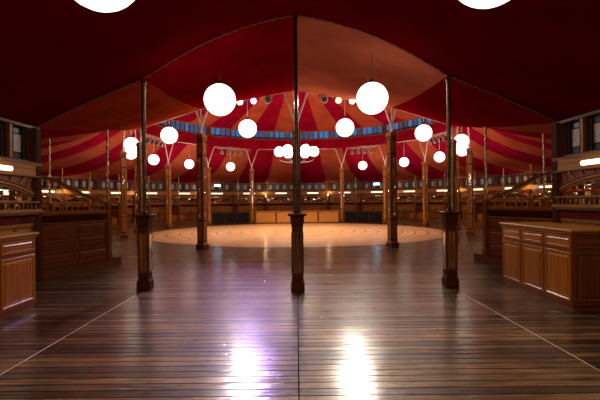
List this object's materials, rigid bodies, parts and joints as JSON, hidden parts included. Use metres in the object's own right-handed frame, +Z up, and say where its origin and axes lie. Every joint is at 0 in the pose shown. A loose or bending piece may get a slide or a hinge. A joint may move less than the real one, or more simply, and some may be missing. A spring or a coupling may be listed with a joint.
{
  "type": "spiegeltent",
  "caption": "Round wooden dance tent with booths along its panelled wall, a ring of posts with globe lamps, a striped cloth lining, a cupola and a gabled foyer.",
  "frame": {"origin": "on the ground, at the underside of the floor, under the middle of the dance floor", "axes": "+Z up, +Y from the foyer to the far side of the round tent, +X to the right of someone walking in"},
  "size_m": [26.92, 36.27, 9.84],
  "materials": {
    "floor_boards": "dark glossy boards",
    "dance_boards": "polished parquet in rings",
    "panel_wood": "varnished panelling",
    "booth_wood": "varnished panelling",
    "post_wood": "varnished, with mirror inlay",
    "counter_wood": "varnished panelling",
    "band_wood": "varnished",
    "dark_wood": "dark varnished",
    "upholstery": "padded velvet",
    "striped_cloth": "hung cloth in two colours",
    "foyer_cloth": "hung cloth",
    "roof_canvas": "coated canvas",
    "window_panes": "leaded panes",
    "lamp_glass": "opal glass",
    "lamp_fittings": "bronze paint"
  },
  "bodies": {
    "root": {"bar_counter_left": "counter_wood", "bar_counter_right": "counter_wood", "booth_platform": "floor_boards", "booth_row_1": "booth_wood", "booth_row_2": "booth_wood", "booth_row_3": "booth_wood", "booth_row_4": "booth_wood", "chandelier": "lamp_fittings", "clerestory_band": "band_wood", "clerestory_glass": "window_panes", "cupola_lining": "striped_cloth", "cupola_roof": "roof_canvas", "dance_floor": "dance_boards", "entrance_lining": "foyer_cloth", "entrance_roof": "roof_canvas", "entry_pole_left": "dark_wood", "entry_pole_middle": "dark_wood", "entry_pole_right": "dark_wood", "far_counter": "counter_wood", "floor_deck": "floor_boards", "foyer_glass_left": "window_panes", "foyer_glass_right": "window_panes", "foyer_lamp_1": "lamp_glass", "foyer_lamp_2": "lamp_glass", "foyer_lamp_3": "lamp_glass", "foyer_lamp_4": "lamp_glass", "foyer_lining": "foyer_cloth", "foyer_roof": "roof_canvas", "foyer_wall_left": "panel_wood", "foyer_wall_right": "panel_wood", "front_wall": "panel_wood", "lining_left": "striped_cloth", "lining_right": "striped_cloth", "low_screen_left": "dark_wood", "low_screen_right": "dark_wood", "outer_roof_left": "roof_canvas", "outer_roof_right": "roof_canvas", "post_ring_1": "post_wood", "post_ring_2": "post_wood", "post_ring_3": "post_wood", "post_ring_4": "post_wood", "round_wall_1": "panel_wood", "round_wall_2": "panel_wood", "round_wall_3": "panel_wood", "round_wall_4": "panel_wood", "wall_backrest": "upholstery", "window_glass": "window_panes"}
  },
  "joints": []
}
